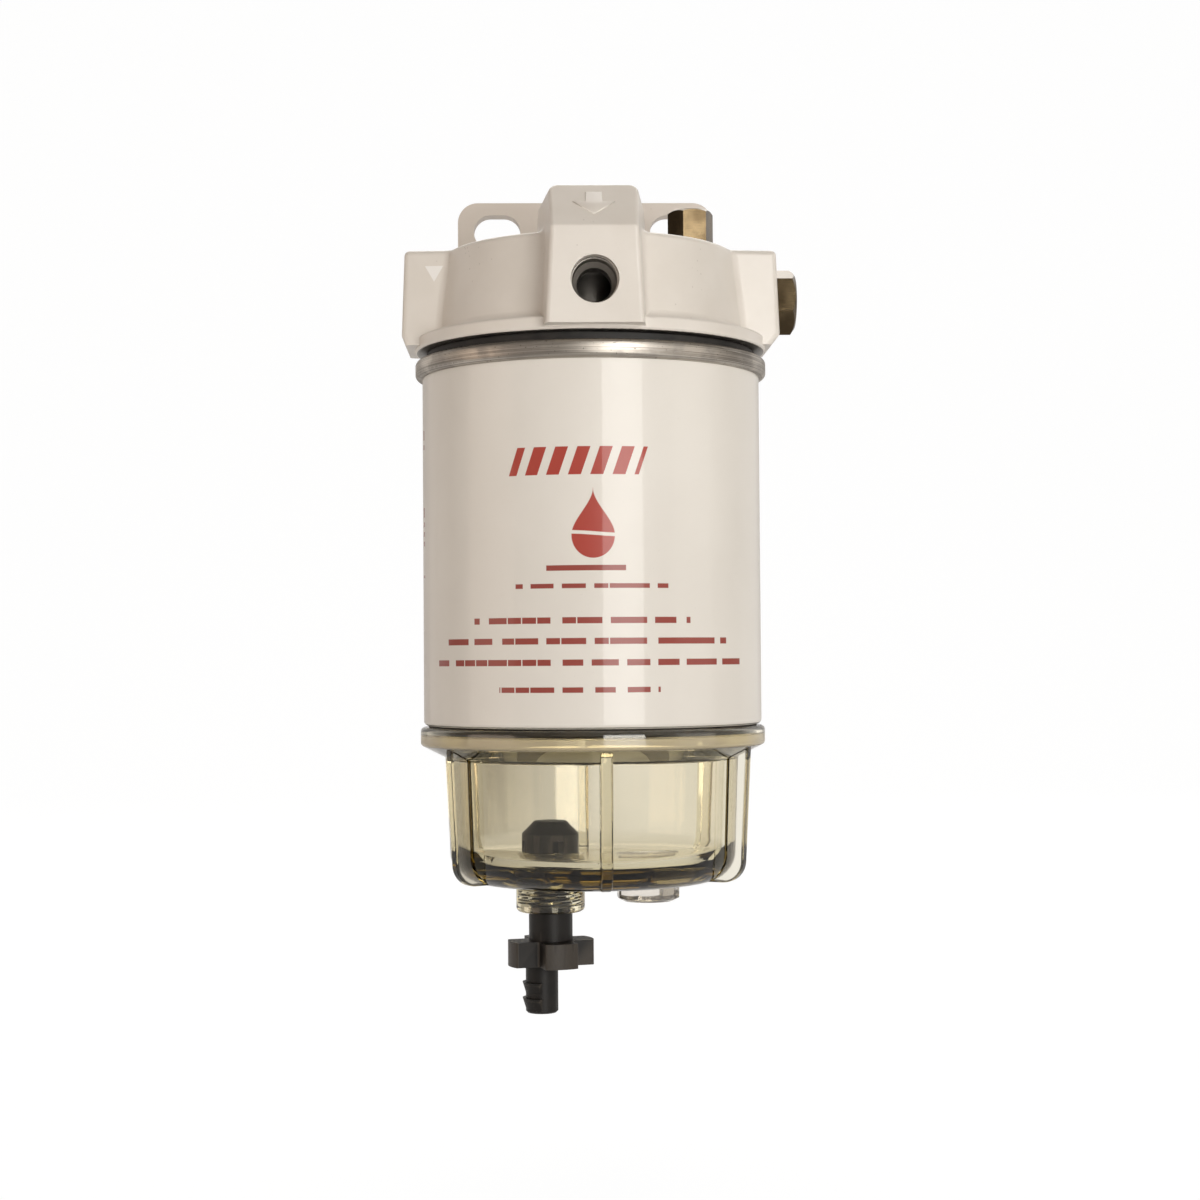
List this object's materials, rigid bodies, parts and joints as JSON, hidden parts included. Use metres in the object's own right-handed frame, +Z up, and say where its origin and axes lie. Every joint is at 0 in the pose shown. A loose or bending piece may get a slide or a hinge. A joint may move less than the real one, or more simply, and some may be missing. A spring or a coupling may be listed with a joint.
{
  "type": "spin-on fuel filter",
  "caption": "Fuel filter and water separator: cast wall-mount head with threaded ports, spin-on can, clear ribbed water bowl and hand drain valve with hose barb.",
  "frame": {"origin": "on the wall face of the bracket, midway between its two slots", "axes": "+Z up along the can, +Y out of the bracket's back towards the wall, +X along the row of slots to the closed side port"},
  "size_m": [0.1083, 0.1062, 0.2339],
  "materials": {
    "head_paint": "satin cream paint on die casting",
    "can_paint": "gloss off-white paint",
    "bare_steel": "bare rolled tinplate",
    "plated_steel": "zinc plated",
    "spring_steel": "tempered strip",
    "brass": "turned",
    "rubber": "matte black",
    "paper": "resin treated paper",
    "clear_amber": "clear amber moulding",
    "clear_plug": "clear moulding",
    "black_nylon": "black moulding"
  },
  "bodies": {
    "head": {"filter_head": "head_paint", "centre_nipple": "plated_steel", "side_port_plug": "brass", "top_vent_plug": "brass"},
    "can_seal": {"head_gasket": "rubber"},
    "can": {"can_shell": "can_paint", "seam_lid": "bare_steel", "thread_plate": "plated_steel", "nipple_grommet": "rubber", "top_end_cap": "plated_steel", "pleated_media": "paper", "centre_tube": "plated_steel", "bottom_end_cap": "plated_steel", "element_spring": "spring_steel", "bowl_thread_ring": "plated_steel"},
    "bowl_seal": {"bowl_gasket": "rubber"},
    "bowl": {"water_bowl": "clear_amber", "drain_strainer": "black_nylon", "probe_port_plug": "clear_plug", "probe_plug_ring": "rubber"},
    "drain_seal": {"drain_valve_ring": "rubber"},
    "drain": {"drain_valve": "black_nylon"}
  },
  "joints": [
    {"name": "can_travel", "type": "slide", "parent": "head", "child": "can_seal", "axis": [0, 0, -1], "range_m": [0, 0.01272]},
    {"name": "can_turn", "type": "hinge", "parent": "can_seal", "child": "can", "pos_m": [0, -0.054, -0.098], "axis": [0, 0, -1], "range_deg": [0, 2520]},
    {"name": "bowl_travel", "type": "slide", "parent": "can", "child": "bowl_seal", "axis": [0, 0, -1], "range_m": [0, 0.00827]},
    {"name": "bowl_turn", "type": "hinge", "parent": "bowl_seal", "child": "bowl", "pos_m": [0, -0.054, -0.168], "axis": [0, 0, -1], "range_deg": [0, 990]},
    {"name": "drain_travel", "type": "slide", "parent": "bowl", "child": "drain_seal", "axis": [0, 0, -1], "range_m": [0, 0.00452]},
    {"name": "drain_turn", "type": "hinge", "parent": "drain_seal", "child": "drain", "pos_m": [-0.01198, -0.05463, -0.202], "axis": [0, 0, -1], "range_deg": [0, 1080]}
  ],
  "couplings": [
    {"joint": "can_travel", "follows": "can_turn", "m_per_rad": 0.00028875},
    {"joint": "bowl_travel", "follows": "bowl_turn", "m_per_rad": 0.00047746},
    {"joint": "drain_travel", "follows": "drain_turn", "m_per_rad": 0.00023873}
  ]
}
